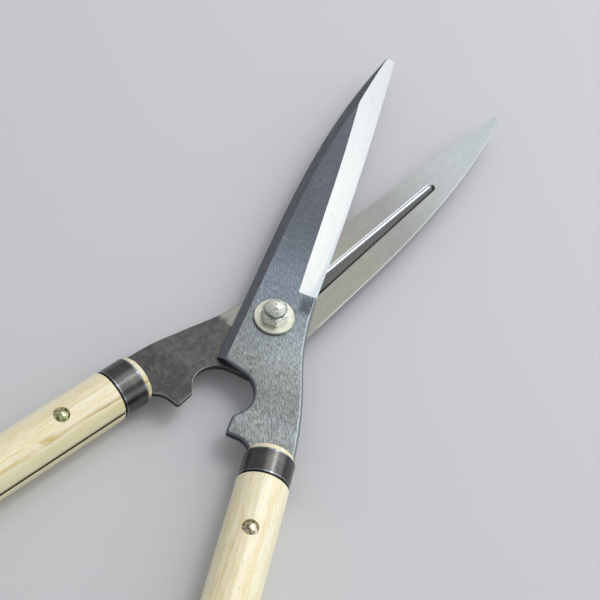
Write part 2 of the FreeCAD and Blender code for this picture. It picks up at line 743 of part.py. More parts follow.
def handle_frame(side):
    """The handle's frame in the half's: from the shoulder, back along the tang."""
    start = FreeCAD.Vector(-size("shoulder_along"), -size("handle_offset"),
                           -size("blade_gap") / 2)
    heading = FreeCAD.Rotation(UP, HALF_TURN + size(side + "_splay"))
    return half_frame(side).multiply(FreeCAD.Placement(start, heading))


parts = []
for side in ("front", "rear"):
    blade = forge_blade(side + "_blade", side + "_splay")
    blade.Placement = half_frame(side)
    handle = turn_handle(side + "_handle")
    handle.Placement = handle_frame(side)
    ferrule = roll_ferrule(side + "_ferrule")
    ferrule.Placement = handle_frame(side)
    rivet = set_rivet(side + "_rivet")
    face_up = FreeCAD.Rotation(ALONG, HALF_TURN if side == "rear" else 0)
    rivet_spot = FreeCAD.Placement(ALONG * size("rivet_along"), face_up)
    rivet.Placement = handle_frame(side).multiply(rivet_spot)
    parts += [blade, handle, ferrule, rivet]

pivot_bolt = make_bolt()
cap_nut = make_cap_nut()
outer_face = "blade_gap / 2 + blade_thickness"
front_washer = make_washer("front_washer", outer_face)
rear_washer = make_washer("rear_washer", "-(%s) - washer_thickness" % outer_face)
parts += [pivot_bolt, cap_nut, front_washer, rear_washer]
doc.recompute()

# The row's origin is the bottom centre of the whole pair's box
whole = Part.makeCompound([part.Shape for part in parts]).optimalBoundingBox()
shift = FreeCAD.Vector(-whole.Center.x, -whole.Center.y, -whole.ZMin)
for part in parts:
    part.Placement = FreeCAD.Placement(shift, FreeCAD.Rotation()).multiply(part.Placement)
doc.recompute()

for item in doc.Objects:
    if "Invalid" in item.State or "Error" in item.State:
        raise RuntimeError("%s is in state %s" % (item.Label, item.State))
for part in parts:
    if part.Shape.isNull() or not part.Shape.isValid() or len(part.Shape.Solids) != 1:
        raise RuntimeError("%s is not one valid solid" % part.Label)

os.makedirs("parts", exist_ok=True)
for part in parts:
    part.Shape.exportStep("parts/%s.step" % part.Label)
print("pivot at", [round(value, 4) for value in shift])
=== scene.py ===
import json
import math
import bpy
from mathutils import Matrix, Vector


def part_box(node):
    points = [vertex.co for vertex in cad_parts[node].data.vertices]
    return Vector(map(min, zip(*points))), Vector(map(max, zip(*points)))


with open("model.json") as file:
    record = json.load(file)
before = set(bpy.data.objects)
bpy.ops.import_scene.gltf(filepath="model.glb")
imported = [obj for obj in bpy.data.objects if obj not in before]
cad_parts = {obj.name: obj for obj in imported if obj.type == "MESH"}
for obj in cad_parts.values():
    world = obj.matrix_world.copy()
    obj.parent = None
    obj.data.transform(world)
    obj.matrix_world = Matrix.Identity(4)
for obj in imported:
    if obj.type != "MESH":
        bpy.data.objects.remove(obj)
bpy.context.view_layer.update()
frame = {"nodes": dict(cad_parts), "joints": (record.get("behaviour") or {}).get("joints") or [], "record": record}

from types import SimpleNamespace

import bpy
from mathutils import Matrix, Vector

# Hedge shears, dressed: two forged blades, oak handles, steel ferrules and a zinc-plated
# bolt. Places are in metres in the row's frame; textures are worked out in millimetres.

MM = 0.001
PER_MM = 1000.0
UP = Vector((0, 0, 1))
EAST, NORTH = Vector((1, 0, 0)), Vector((0, 1, 0))

# The blades: "along" runs from the pivot to the tip, "spine" from the blade's axis to its
# back, "out" from the pivot's middle plane to the outer face, all in millimetres.
OPENING = math.radians(27.7)        # angle between the two blades at rest
HEEL = 21.0                         # where the cutting edge begins, along the blade
SPINE_END = -36.0                   # where the back's chamfer changes tone, on the neck
CRANK_ALONG = (-45.0, -64.0)        # the neck steps down between these two places,
CRANK_OUT = (5.0, 3.0)              # its outer face from the first height to the second
HOLLOW_ALONG = (27.0, 140.4)        # the hollow's two round ends,
HOLLOW_CENTRE = (-0.1, -4.3)        # its centre line's offset there,
HOLLOW_RADIUS = (4.75, 2.5)         # and half its width
HOLLOW_OUT = (0.05, 0.2)            # it begins this deep in the inner face
STROKE_LEAN = math.radians(20)      # brush marks, off the blade's length towards its spine

# The handles: "along" runs from the ferrule's front to the butt, in millimetres.
FERRULE_LENGTH = 16.6
TAPER_ALONG = (16.6, 196.6)         # the handle swells between these two places
TAPER_RADIUS = (15.4, 16.5)         # from the first radius to the second
SLIT_ALONG = (17.4, 166.6)          # where the saw slit lies,
SLIT_LIFT = (1.8, 4.0)              # a little to one side of the handle's axis

# The domed nut, in millimetres above the pivot's middle plane.
DOME_START = 13.1
RING_PITCH = 1.5                    # between the turned rings on the dome

# Wear of the blades' edges, in millimetres along and off the blade's axis.
EDGE_WEAR = 0.4                     # they are rounded off by this much,
EDGE_STEPS = 2                      # in this many facets,
HONED_ALONG = 22.0                  # but not the honed edge, which lies past this place
HONED_SPINE = -11.0                 # and this far off the blade's axis
JOIN_WITHIN = 0.002                 # corners this close are one
FLAT_WITHIN = math.radians(0.3)     # faces that meet at less are one
SHARP_FROM = math.radians(30)       # edges that turn by more are rounded off
CREASE_FROM = math.radians(12)      # and edges that turn by more stay crisp

NOISE_SPAN = (0.3, 0.7)             # most of a noise's values lie between these
MIX_SOCKETS = {"RGBA": (0, 6, 7), "FLOAT": (0, 2, 3)}   # a Mix node's share and two values,
MIX_RESULT = {"RGBA": 2, "FLOAT": 0}                    # and its result, for each kind


# ---------------------------------------------------------------- frames of the halves

PIVOT = Vector(frame["joints"][0]["pos_m"])


def blade_axes(side):
    """Pivot to tip, towards the spine, and out of the outer face."""
    lean = OPENING / 2
    across = -1 if side == "front" else 1
    along = Vector((across * math.sin(lean), math.cos(lean), 0))
    spine = Vector((across * math.cos(lean), -math.sin(lean), 0))
    return along, spine, UP * -across


def handle_front(side):
    """The middle of the ferrule's front, the axis towards the butt, sideways and up."""
    mounts = frame["record"]["mounts"]
    grip = [mount for mount in mounts if mount["name"] == side + "_grip"][0]
    start, along = Vector(grip["pos_m"]), Vector(grip["axis"]).normalized()
    ferrule = frame["nodes"][side + "_ferrule"].data.vertices
    nearest = min((vertex.co - start).dot(along) for vertex in ferrule)
    return start + along * nearest, along, UP.cross(along), UP


# ---------------------------------------------------------------- node helpers

def tone(red, green, blue):
    """A screen colour written in 0 to 255, as Blender's linear values (the sRGB curve)."""
    linear = []
    for value in (red, green, blue):
        share = value / 255
        linear.append(share / 12.92 if share <= 0.04045 else ((share + 0.055) / 1.055) ** 2.4)
    return (*linear, 1.0)


class Nodes:
    """Adds nodes to a tree and joins them. A value is a number or a node's result."""

    def __init__(self, tree):
        self.tree = tree

    def node(self, kind, **settings):
        """A new node of this kind, with these settings."""
        made = self.tree.nodes.new(kind)
        for name, value in settings.items():
            setattr(made, name, value)
        return made

    def feed(self, socket, value):
        """Give a socket a number, a colour or another node's result."""
        if isinstance(value, bpy.types.NodeSocket):
            self.tree.links.new(value, socket)
        else:
            socket.default_value = value

    def work(self, kind, *values):
        """The result of one arithmetic step."""
        made = self.node("ShaderNodeMath", operation=kind)
        for socket, value in zip(made.inputs, values):
            self.feed(socket, value)
        return made.outputs[0]

    def plus(self, first, second):
        return self.work("ADD", first, second)

    def minus(self, first, second):
        return self.work("SUBTRACT", first, second)

    def times(self, first, *others):
        """The product: of masks, the places that all of them share."""
        for other in others:
            first = self.work("MULTIPLY", first, other)
        return first

    def reach(self, first, second):
        """How far from the crossing of two axes, from the distances along them."""
        return self.work("SQRT", self.plus(self.times(first, first), self.times(second, second)))

    def dot(self, vector, axis):
        """How much of the vector lies along the axis."""
        made = self.node("ShaderNodeVectorMath", operation="DOT_PRODUCT")
        self.feed(made.inputs[0], vector)
        self.feed(made.inputs[1], tuple(axis))
        return made.outputs["Value"]

    def distances(self, place, origin, *axes):
        """How far a place is from a point along the axes, in millimetres."""
        away = self.node("ShaderNodeVectorMath", operation="SUBTRACT")
        self.feed(away.inputs[0], place)
        self.feed(away.inputs[1], tuple(origin))
        return [self.dot(away.outputs[0], axis * PER_MM) for axis in axes]


class Paint(Nodes):
    """A material built from nodes, measured in millimetres on the object itself."""

    def __init__(self, name, metallic, specular=0.5):
        self.material = bpy.data.materials.new(name)
        self.material.use_nodes = True
        super().__init__(self.material.node_tree)
        self.shader = self.tree.nodes["Principled BSDF"]
        self.shader.inputs["Metallic"].default_value = metallic
        self.shader.inputs["Specular IOR Level"].default_value = specular
        self.place = self.node("ShaderNodeTexCoord")

    def measure(self, origin, *axes):
        """Distances of the spot from a point along the axes, in millimetres."""
        return self.distances(self.place.outputs["Object"], origin, *axes)

    def facing(self, axis):
        """How far the surface faces an axis, from -1 to 1."""
        return self.dot(self.place.outputs["Normal"], axis)

    def grain(self, distances, lengths, detail=3.0, roughness=0.55, seed=0.0):
        """Noise with features about this long in each direction."""
        point = self.node("ShaderNodeCombineXYZ")
        for socket, distance, length in zip(point.inputs, distances, lengths):
            self.feed(socket, self.work("DIVIDE", distance, length))
        made = self.node("ShaderNodeTexNoise", noise_dimensions="4D")
        self.feed(made.inputs["Vector"], point.outputs[0])
        self.feed(made.inputs["W"], seed)
        self.feed(made.inputs["Scale"], 1.0)
        self.feed(made.inputs["Detail"], detail)
        self.feed(made.inputs["Roughness"], roughness)
        return made.outputs[0]

    def change(self, kind, value, low, high, bottom, top):
        """A value carried from one range to another, straight or smoothed."""
        made = self.node("ShaderNodeMapRange", interpolation_type=kind)
        numbers = (value, low, high, bottom, top)
        for name, number in zip(("Value", "From Min", "From Max", "To Min", "To Max"), numbers):
            self.feed(made.inputs[name], number)
        return made.outputs[0]

    def line(self, value, low, high, bottom, top):
        """A straight change from bottom at low to top at high."""
        return self.change("LINEAR", value, low, high, bottom, top)

    def rise(self, value, low, high, bottom=0.0, top=1.0):
        """A smooth step from bottom at low to top at high; low may be the larger number."""
        return self.change("SMOOTHSTEP", value, low, high, bottom, top)

    def band(self, value, low, high, edge):
        """1 between low and high, with soft edges."""
        return self.times(self.rise(value, low - edge, low + edge),
                          self.rise(value, high - edge, high + edge, 1.0, 0.0))

    def between(self, kind, *values):
        """Between two values of a kind, by the share that comes before them."""
        made = self.node("ShaderNodeMix", data_type=kind)
        for place, value in zip(MIX_SOCKETS[kind], values):
            self.feed(made.inputs[place], value)
        return made.outputs[MIX_RESULT[kind]]

    def mix(self, share, first, second):
        """The first colour where share is 0, the second where it is 1."""
        return self.between("RGBA", share, first, second)

    def blend(self, share, first, second):
        """The same for plain numbers."""
        return self.between("FLOAT", share, first, second)

    def cover(self, colour, over, share, strength=1.0):
        """The colour with another one over it, this strong where share is 1."""
        if strength != 1.0:
            share = self.times(share, strength)
        return self.mix(share, colour, over)

    def shade(self, colour, factor):
        """The same colour made darker or lighter."""
        made = self.node("ShaderNodeVectorMath", operation="SCALE")
        self.feed(made.inputs[0], colour)
        self.feed(made.inputs["Scale"], factor)
        return made.outputs[0]

    def vary(self, colour, noise, darkest, lightest):
        """The same colour, its lightness following a noise."""
        return self.shade(colour, self.rise(noise, *NOISE_SPAN, darkest, lightest))

    def ramp(self, value, stops):
        """Colours that follow one another as the value grows, each at its own place."""
        low, high = stops[0][0], stops[-1][0]
        made = self.node("ShaderNodeValToRGB")
        self.feed(made.inputs[0], self.line(value, low, high, 0.0, 1.0))
        elements = made.color_ramp.elements
        for place, colour in stops[1:-1]:
            elements.new((place - low) / (high - low)).color = colour
        elements[0].color, elements[-1].color = stops[0][1], stops[-1][1]
        return made.outputs[0]

    def finish(self, colour, roughness, height=None, depth=0.0):
        """Colour and roughness, and a bump this many millimetres deep."""
        self.feed(self.shader.inputs["Base Color"], colour)
        self.feed(self.shader.inputs["Roughness"], roughness)
        if height is not None:
            bump = self.node("ShaderNodeBump")
            self.feed(bump.inputs["Height"], height)
            self.feed(bump.inputs["Distance"], depth * MM)
            self.feed(bump.inputs["Strength"], 1.0)
            self.feed(self.shader.inputs["Normal"], bump.outputs[0])
        return self.material


# ---------------------------------------------------------------- the blades' steel

STEEL_METALLIC = 0.75
ROUGH_OUTER, ROUGH_GROUND, ROUGH_SCALED, ROUGH_BEVEL = 0.42, 0.36, 0.5, 0.24
STROKE_DEPTH = 0.03                 # mm

OUTER_TONES = (                     # blue-black blade, greener and lighter towards the tang
    (-88.0, tone(108, 110, 108)), (-78.0, tone(120, 124, 123)), (-70.0, tone(126, 132, 132)),
    (-46.0, tone(118, 122, 121)), (-28.0, tone(131, 137, 137)), (-15.0, tone(130, 137, 140)),
    (0.0, tone(121, 128, 134)), (20.0, tone(115, 124, 133)), (32.0, tone(110, 118, 129)),
    (45.0, tone(101, 109, 118)), (60.0, tone(92, 98, 107)), (78.0, tone(87, 92, 98)),
    (200.0, tone(88, 94, 100)))
# A painted glint for the brush marks, and bright specks
GLINT, OUTER_SPECK = tone(182, 190, 196), tone(186, 188, 186)
RUST, HEAT = tone(98, 91, 80), tone(74, 77, 86)

GROUND_TONES = (                    # ground inner face, cooler at the tip
    (70.0, tone(136, 135, 127)), (105.0, tone(134, 136, 134)), (120.0, tone(144, 146, 145)),
    (135.0, tone(153, 156, 156)), (150.0, tone(160, 163, 164)), (168.0, tone(162, 168, 170)))
INNER_SPECK = tone(188, 190, 184)
SCALE_DARK, SCALE_LIGHT, SCRATCH = tone(72, 72, 71), tone(90, 90, 87), tone(132, 132, 125)

# The hollow: painted shade on its floor, a painted highlight strip and a painted dark reflection line on it, and a
# painted highlight on its wall
HOLLOW_FLOOR_SHADE_DARK, HOLLOW_FLOOR_SHADE_LIGHT = tone(77, 78, 77), tone(102, 101, 97)
HOLLOW_SHADE, HOLLOW_STRIP_HIGHLIGHT = tone(54, 54, 54), tone(174, 180, 187)
HOLLOW_RIM_REFLECTION, HOLLOW_LIT, HOLLOW_EDGE_HIGHLIGHT = tone(84, 92, 106), tone(240, 245, 250), tone(128, 136, 150)

# The upright walls' tones, and a painted highlight for the wall of the blade's back
WALL_DARK, WALL_LIGHT, SPINE_WALL_HIGHLIGHT = tone(50, 51, 54), tone(74, 75, 79), tone(228, 228, 222)
SPINE_DARK, SPINE_LIGHT = tone(102, 105, 112), tone(114, 118, 124)
BACK_CHAMFER = tone(118, 121, 129)
NECK_BRIGHT, NECK_DULL = tone(184, 194, 199), tone(140, 146, 152)
BEVEL_TONES = ((110.0, tone(191, 193, 193)), (195.0, tone(180, 183, 185)))
# The honed strip, and worn edges painted brighter as a highlight
HONED_TONE, WORN_EDGE_AND_HIGHLIGHT = tone(174, 180, 186), tone(228, 230, 232)


def blade_marks(paint, side):
    """Where a spot of the blade lies and faces, and the marks that its faces share."""
    axes = blade_axes(side)
    along, spine, out = on_blade = paint.measure(PIVOT, *axes)
    straight, aside = math.cos(STROKE_LEAN), math.sin(STROKE_LEAN)
    stroke_along, stroke_across = paint.measure(
        PIVOT, axes[0] * straight + axes[1] * aside, axes[1] * straight - axes[0] * aside)
    on_stroke = (stroke_along, stroke_across, out)
    return SimpleNamespace(
        along=along, spine=spine, out=out,
        stroke_along=stroke_along, stroke_across=stroke_across,
        to_spine=paint.facing(axes[1]), outward=paint.facing(axes[2]),
        strokes=paint.grain(on_stroke, (3.2, 0.5, 5.0), 3.0, 0.7),
        sparkle=paint.grain(on_stroke, (0.9, 0.3, 2.0), 1.0, 0.5, seed=38.0),
        lines=paint.grain(on_blade, (26.0, 0.35, 2.0), 2.0, 0.6, seed=17.0),
        grit=paint.grain(on_blade, (0.7, 0.7, 0.7), 3.0, 0.7, seed=3.0),
        stains=paint.grain(on_blade, (14.0, 9.0, 9.0), 4.0, 0.6, seed=7.0),
        blotches=paint.grain(on_blade, (4.5, 3.5, 4.0), 4.0, 0.65, seed=12.0),
        specks=paint.grain(on_blade, (0.9, 0.6, 0.9), 1.0, 0.5, seed=33.0))


def outer_face(paint, at):
    """Brushed and blackened: strongest strokes on the neck, heat colour at the heel."""
    colour = paint.ramp(at.along, OUTER_TONES)
    across_neck = paint.rise(at.spine, -18.0, 18.0, 1.1, 0.84)
    colour = paint.shade(colour, paint.blend(paint.rise(at.along, 20.0, -10.0), 1.0, across_neck))
    contrast = paint.rise(at.along, 62.0, 4.0, 0.2, 0.48)
    colour = paint.shade(colour, paint.blend(paint.rise(at.strokes, 0.34, 0.66),
                                             paint.minus(1.0, contrast),
                                             paint.plus(1.0, contrast)))
    colour = paint.vary(colour, at.stains, 0.93, 1.07)
    # Painted glitter: tiny highlights scattered over the neck
    on_neck = paint.rise(at.along, 45.0, -5.0)
    glitter = paint.rise(at.sparkle, 0.3, 0.72, 0.8, 1.32)
    colour = paint.shade(colour, paint.blend(on_neck, 1.0, glitter))
    # Painted glints: highlights along the brush marks, fading out towards the tip
    glints = paint.times(paint.rise(at.strokes, 0.6, 0.7), paint.rise(at.along, 90.0, 40.0))
    colour = paint.cover(colour, GLINT, glints, strength=0.5)
    rust = paint.times(paint.rise(at.blotches, 0.53, 0.66), paint.rise(at.along, -14.0, -32.0))
    colour = paint.cover(colour, RUST, rust, strength=0.6)
    heat = paint.times(paint.band(at.along, 9.0, 20.0, 3.0), paint.rise(at.spine, -9.0, -13.5),
                       paint.rise(at.stains, 0.32, 0.5))
    colour = paint.cover(colour, HEAT, heat, strength=0.9)
    return paint.cover(colour, OUTER_SPECK, paint.rise(at.specks, 0.7, 0.76, 0.0, 0.8))


def inner_face(paint, at):
    """Ground grey, and where the grinding stopped short, on the tang, dark forging scale."""
    ground = paint.ramp(at.along, GROUND_TONES)
    ground = paint.vary(ground, at.lines, 0.93, 1.07)
    ground = paint.vary(ground, at.blotches, 0.95, 1.05)
    ground = paint.cover(ground, INNER_SPECK, paint.rise(at.specks, 0.68, 0.76, 0.0, 0.5))

    scale = paint.mix(paint.rise(at.blotches, 0.35, 0.65), SCALE_DARK, SCALE_LIGHT)
    scale = paint.vary(scale, at.grit, 0.84, 1.16)
    scale = paint.shade(scale, paint.rise(at.along, -52.0, -76.0, 1.08, 0.88))
    bent = paint.plus(at.stroke_along, paint.times(at.stains, 9.0))
    scratches = paint.grain((at.stroke_across, bent, at.out), (12.0, 0.32, 9.0), 1.0, 0.5, 21.0)
    scratched = paint.times(paint.rise(scratches, 0.6, 0.68, 0.0, 0.5),
                            paint.rise(at.blotches, 0.42, 0.52))
    scale = paint.cover(scale, SCRATCH, scratched)

    wander = paint.times(paint.minus(at.stains, 0.5), 26.0)
    scaled = paint.rise(paint.plus(at.along, wander), -16.0, -21.0)
    return paint.mix(scaled, ground, scale), scaled


def hollow(paint, at):
    """The hollow in the inner face, in painted light and shade: its shaded floor, and the wall that catches the
    light painted as a highlight.
    """
    # Painted shade: the floor darker than the ground face, darkest by the wall that faces away
    floor = paint.mix(paint.rise(at.grit, 0.4, 0.7), HOLLOW_FLOOR_SHADE_DARK, HOLLOW_FLOOR_SHADE_LIGHT)
    floor = paint.cover(floor, HOLLOW_SHADE, paint.rise(at.to_spine, -0.2, -0.4))
    centre = paint.line(at.along, *HOLLOW_ALONG, *HOLLOW_CENTRE)
    from_side = paint.plus(paint.minus(at.spine, centre),
                           paint.line(at.along, *HOLLOW_ALONG, *HOLLOW_RADIUS))
    # A painted highlight strip and a painted dark reflection line along the floor's edge
    floor = paint.cover(floor, HOLLOW_STRIP_HIGHLIGHT, paint.rise(from_side, 2.0, 1.7))
    floor = paint.cover(floor, HOLLOW_RIM_REFLECTION, paint.band(from_side, 0.1, 0.65, 0.1))
    # The wall that faces the spine, painted as a highlight
    lit_wall = paint.mix(paint.band(at.out, 0.3, 0.6, 0.12), HOLLOW_LIT, HOLLOW_EDGE_HIGHLIGHT)
    return paint.mix(paint.rise(at.to_spine, 0.2, 0.4), floor, lit_wall)


def walls(paint, at):
    """The faces that stand upright: dark, with a painted highlight along the ground back of the blade."""
    colour = paint.mix(paint.rise(at.stains, 0.4, 0.6), WALL_DARK, WALL_LIGHT)
    # A painted highlight along the wall of the blade's back
    on_spine = paint.times(paint.rise(at.to_spine, 0.6, 0.8), paint.rise(at.along, -30.0, -22.0))
    return paint.cover(colour, SPINE_WALL_HIGHLIGHT, on_spine)


def chamfers(paint, at, face, sloped):
    """The face with the sloped strips that were filed along the back and the neck."""
    spine_tone = paint.mix(paint.rise(at.blotches, 0.35, 0.65), SPINE_DARK, SPINE_LIGHT)
    on_spine = paint.times(sloped, paint.rise(at.to_spine, 0.25, 0.4),
                           paint.rise(at.along, SPINE_END, SPINE_END + 2.0))
    face = paint.cover(face, spine_tone, on_spine)
    behind = paint.times(sloped, paint.rise(at.along, SPINE_END + 1.5, SPINE_END),
                         paint.rise(at.spine, -19.0, -17.0))
    face = paint.cover(face, BACK_CHAMFER, behind)
    drop = paint.minus(paint.line(at.along, *CRANK_ALONG, *CRANK_OUT), at.out)
    neck_tone = paint.mix(paint.rise(drop, 0.2, 0.8), NECK_BRIGHT, NECK_DULL)
    on_neck = paint.times(sloped, paint.rise(at.to_spine, -0.2, -0.3),
                          paint.rise(at.spine, -17.0, -19.0),
                          paint.rise(at.along, HEEL, HEEL - 2.0))
    return paint.cover(face, neck_tone, on_neck)


def edge_bevel(paint, at, sloped):
    """The polished bevel's colour, with its honed strip, and where it is."""
    bevel = paint.times(sloped, paint.rise(at.to_spine, -0.2, -0.3),
                        paint.rise(at.along, HEEL - 0.5, HEEL + 0.5))
    colour = paint.vary(paint.ramp(at.along, BEVEL_TONES), at.lines, 0.96, 1.04)
    colour = paint.vary(colour, at.blotches, 0.98, 1.02)
    honed = paint.times(bevel, paint.rise(at.to_spine, -0.40, -0.43))
    return paint.cover(colour, HONED_TONE, honed), bevel


def forged_steel(side):
    """Blackened and brushed outside, ground bright inside, with a polished bevel."""
    paint = Paint(side + "_blade_steel", STEEL_METALLIC)
    at = blade_marks(paint, side)
    ground, scaled = inner_face(paint, at)

    # The hollow, the walls, the chamfers and the bevel are told apart by where they face
    inner = paint.rise(at.outward, -0.2, -0.6)
    face = paint.mix(inner, outer_face(paint, at), ground)
    in_hollow = paint.times(inner, paint.rise(at.out, *HOLLOW_OUT),
                            paint.rise(at.along, 15.0, 20.0))
    face = paint.cover(face, hollow(paint, at), in_hollow)
    face = paint.cover(face, walls(paint, at), paint.band(at.outward, -0.35, 0.35, 0.05))
    sloped = paint.band(at.outward, 0.4, 0.975, 0.012)
    face = chamfers(paint, at, face, sloped)
    polished, bevel = edge_bevel(paint, at, sloped)
    face = paint.cover(face, polished, bevel)
    # Worn inner edges, painted brighter as a highlight on their rounded facets
    worn_and_lit = paint.times(paint.band(at.outward, -0.9, -0.35, 0.05),
                       paint.rise(at.out, 0.05, -0.02))
    face = paint.cover(face, WORN_EDGE_AND_HIGHLIGHT, worn_and_lit, strength=0.85)

    rough = paint.blend(inner, ROUGH_OUTER, ROUGH_GROUND)
    rough = paint.blend(paint.times(inner, scaled), rough, ROUGH_SCALED)
    rough = paint.blend(bevel, rough, ROUGH_BEVEL)
    rough = paint.plus(rough, paint.rise(at.grit, 0.3, 0.8, -0.04, 0.06))
    height = paint.times(at.strokes, paint.rise(at.outward, 0.9, 0.98))
    return paint.finish(face, rough, height, STROKE_DEPTH)


# ---------------------------------------------------------------- the handles' oak

OAK_SPECULAR, LACQUER, LACQUER_ROUGH = 0.4, 0.6, 0.3
FIBRE_DEPTH = 0.05                  # mm
FIGURE_PALE, FIGURE_WARM = tone(250, 246, 221), tone(243, 231, 188)
THREAD, FIBRE_DARK, FIBRE_PALE = tone(218, 193, 122), tone(216, 192, 124), tone(255, 251, 232)
PORE, OAK_STAIN, END_GRAIN = tone(176, 148, 82), tone(224, 210, 146), tone(242, 228, 188)
HEARTWOOD, HEART_CORE = tone(212, 186, 112), tone(172, 138, 62)
HEART_BLOTCH, GREENISH = tone(206, 176, 96), tone(216, 210, 146)
# The slit's pale lip, and painted shade inside it
SLIT_LIP, SLIT_SHADE = tone(250, 240, 196), tone(88, 82, 50)


def oak_grain(paint, side):
    """Where a spot of the handle lies, and the wood's marks, which bend with its growth."""
    origin, *axes = handle_front(side)
    along, across, up = on_handle = paint.measure(origin, *axes)
    seed = 4.0 if side == "front" else 19.0
    growth = paint.grain(on_handle, (55.0, 10.0, 10.0), 3.0, 0.55, seed)
    wander = paint.minus(growth, 0.5)
    bent = (along, paint.plus(across, paint.times(wander, 6.0)),
            paint.plus(up, paint.times(wander, 3.0)))
    return SimpleNamespace(
        along=along, across=across, up=up, wander=wander, forward=paint.facing(axes[0]),
        figure=paint.grain(bent, (130.0, 3.6, 6.0), 3.0, 0.6, seed + 1),
        threads=paint.grain(bent, (34.0, 0.85, 1.2), 3.0, 0.65, seed + 2),
        fibres=paint.grain(bent, (9.0, 0.42, 0.6), 2.0, 0.6, seed + 3),
        pores=paint.grain(bent, (4.0, 0.3, 0.4), 1.0, 0.5, seed + 4),
        stains=paint.grain(on_handle, (18.0, 7.0, 7.0), 3.0, 0.6, seed + 5))


def heartwood(paint, at, colour):
    """A thin dark line above the rear handle's slit, blotched further back, greener below."""
    line = paint.plus(at.across, paint.times(at.wander, 3.0))
    above = paint.rise(at.up, -2.0, 2.0)
    soft = paint.times(paint.band(line, 7.9, 9.7, 0.7), above, paint.rise(at.stains, 0.3, 0.5))
    colour = paint.cover(colour, HEARTWOOD, soft, strength=0.6)
    core = paint.times(paint.band(line, 8.7, 9.2, 0.4), above, paint.rise(at.along, 48.0, 26.0))
    colour = paint.cover(colour, HEART_CORE, core, strength=0.85)
    blotch = paint.times(paint.band(line, 6.4, 9.6, 0.8), paint.band(at.along, 62.0, 88.0, 5.0),
                         above, paint.rise(at.stains, 0.44, 0.52))
    colour = paint.cover(colour, HEART_BLOTCH, blotch, strength=0.75)
    return paint.cover(colour, GREENISH, paint.rise(line, 9.8, 11.0, 0.0, 0.38))


def saw_slit(paint, side, at, colour):
    """Painted shade beside and inside the slit, and its pale lip, on the handle's inner side."""
    # The two handles are alike, one turned over
    turned = 1.0 if side == "rear" else -1.0
    inwards, lift = paint.times(at.across, turned), paint.times(at.up, turned)
    sunk = paint.minus(paint.line(at.along, *TAPER_ALONG, *TAPER_RADIUS),
                       paint.reach(at.across, at.up))
    slit_side = paint.times(paint.rise(inwards, 6.0, 8.0), paint.band(at.along, *SLIT_ALONG, 0.3))
    outside = paint.rise(sunk, 0.3, 0.05)
    low, high = SLIT_LIFT
    # Painted shade on the wood beside the slit
    shade_by_slit = paint.times(slit_side, outside, paint.band(lift, high, 5.0, 0.8))
    colour = paint.shade(colour, paint.rise(shade_by_slit, 0.0, 1.0, 1.0, 0.68))
    lip = paint.times(slit_side, outside, paint.band(lift, 0.0, low, 0.3))
    colour = paint.cover(colour, SLIT_LIP, lip, strength=0.6)
    # Painted shade inside the slit
    inside = paint.times(slit_side, paint.rise(sunk, 0.05, 0.3),
                         paint.band(lift, low - 0.2, high + 0.2, 0.1))
    return paint.cover(colour, SLIT_SHADE, inside)


def oak(side):
    """Pale oak, its grain along the handle, with tan fibres, fine pores, and painted shade in and beside the slit.
    """
    paint = Paint(side + "_handle_oak", metallic=0.0, specular=OAK_SPECULAR)
    paint.shader.inputs["Coat Weight"].default_value = LACQUER
    paint.shader.inputs["Coat Roughness"].default_value = LACQUER_ROUGH
    at = oak_grain(paint, side)
    colour = paint.mix(paint.rise(at.figure, 0.35, 0.65), FIGURE_PALE, FIGURE_WARM)
    dense = paint.rise(at.figure, 0.38, 0.66, 0.25, 0.75)
    colour = paint.cover(colour, THREAD, paint.times(paint.rise(at.threads, 0.5, 0.7), dense))
    colour = paint.cover(colour, FIBRE_DARK, paint.rise(at.fibres, 0.5, 0.72, 0.0, 0.42))
    colour = paint.cover(colour, FIBRE_PALE, paint.rise(at.fibres, 0.46, 0.3, 0.0, 0.55))
    colour = paint.cover(colour, PORE, paint.rise(at.pores, 0.66, 0.74, 0.0, 0.6))
    colour = paint.cover(colour, OAK_STAIN, paint.rise(at.stains, 0.55, 0.7, 0.0, 0.25))
    if side == "rear":
        colour = heartwood(paint, at, colour)
    colour = paint.cover(colour, END_GRAIN, paint.rise(at.forward, -0.6, -0.9))
    colour = saw_slit(paint, side, at, colour)
    height = paint.plus(paint.times(at.fibres, 0.6), paint.rise(at.pores, 0.6, 0.76, 0.0, -1.0))
    rough = paint.rise(at.fibres, *NOISE_SPAN, 0.42, 0.56)
    return paint.finish(colour, rough, height, FIBRE_DEPTH)


# ---------------------------------------------------------------- ferrules, nut and rivets

RING_METALLIC, TURNING_DEPTH = 0.9, 0.012
RING_DARK, RING_WARM = tone(82, 82, 81), tone(98, 96, 93)
# Painted shadow lines and painted reflection lines at the rims
RIM_SHADOW, RIM_REFLECTION = tone(34, 34, 38), tone(150, 160, 174)

ZINC_DEPTH, ZINC_GRIT = 0.09, tone(150, 152, 132)
WASHER_METALLIC, WASHER_ROUGH, WASHER_SEED = 0.75, 0.32, 51.0
WASHER_PALE, WASHER_DEEP = tone(208, 209, 197), tone(190, 193, 170)
NUT_METALLIC, NUT_ROUGH, NUT_SEED = 0.33, 0.12, 61.0
NUT_PALE, NUT_DEEP = tone(251, 253, 248), tone(220, 227, 203)
NUT_RINGS, NUT_DENTS = 0.6, 3.2     # how much they count in the bump
# Tarnish and painted dark reflections on the nut, and turning marks painted darker as rings of reflection
FOOT_TARNISH_AND_REFLECTION, PATCH_TARNISH_AND_REFLECTION = tone(92, 102, 98), tone(116, 118, 108)
TURNING_MARK_AND_REFLECTION = tone(116, 124, 122)

RIVET_METALLIC, RIVET_DEPTH, RIVET_PALE = 0.95, 0.03, tone(222, 218, 186)
RIVET_TINT = {"front": tone(160, 138, 116), "rear": tone(120, 134, 74)}
RIVET_SEED = {"front": 31.0, "rear": 43.0}


